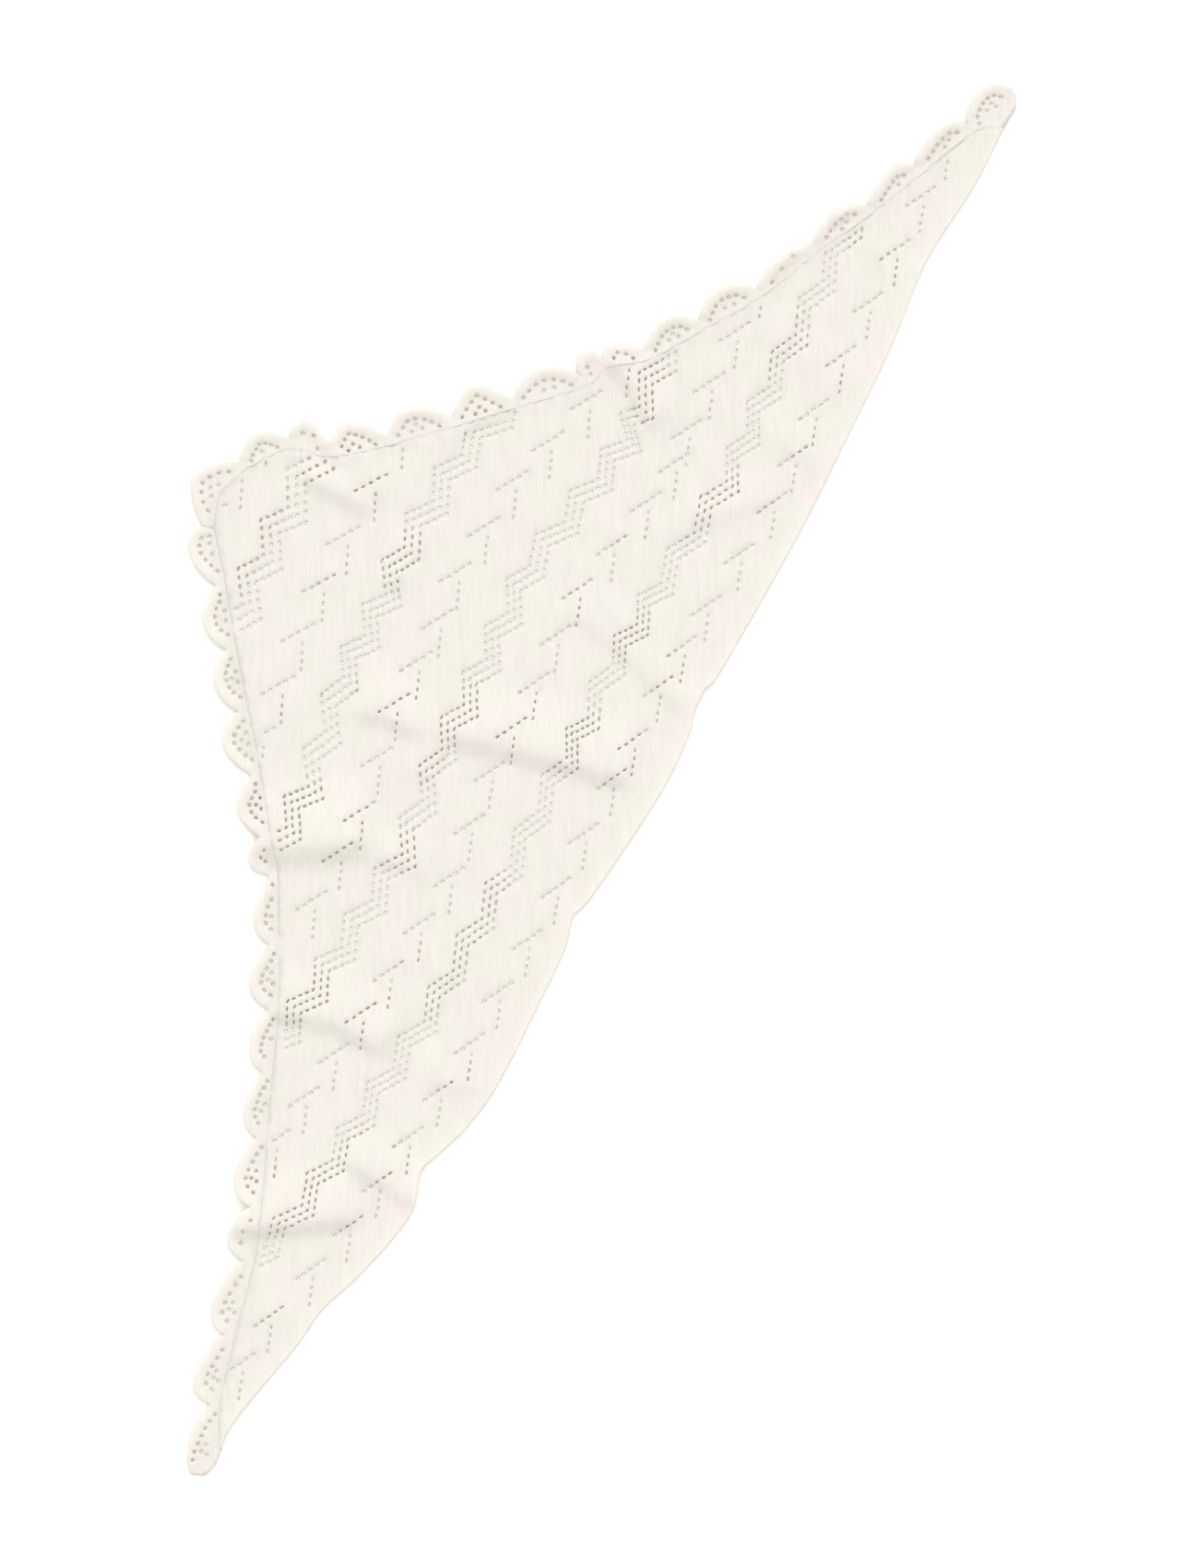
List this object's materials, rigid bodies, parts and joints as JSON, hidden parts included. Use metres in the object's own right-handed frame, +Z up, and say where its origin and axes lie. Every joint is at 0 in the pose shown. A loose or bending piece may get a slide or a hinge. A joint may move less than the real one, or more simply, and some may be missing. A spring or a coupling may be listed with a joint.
{
  "type": "triangle shawl",
  "caption": "Knitted triangle shawl laid flat, with pointelle zigzag bands and a scalloped lace edging on its two short sides.",
  "frame": {"origin": "centre of the shawl's box at the surface it lies on", "axes": "+X along the long edge, +Y towards the point, +Z up out of the cloth"},
  "size_m": [1.512, 0.5364, 0.0148],
  "materials": {
    "panel_knit": "matte fine-gauge knit, softly fuzzy",
    "edging_knit": "matte fine-gauge lace knit, softly fuzzy"
  },
  "bodies": {
    "root": {"main_panel": "panel_knit", "left_edging": "edging_knit", "right_edging": "edging_knit"}
  },
  "joints": []
}
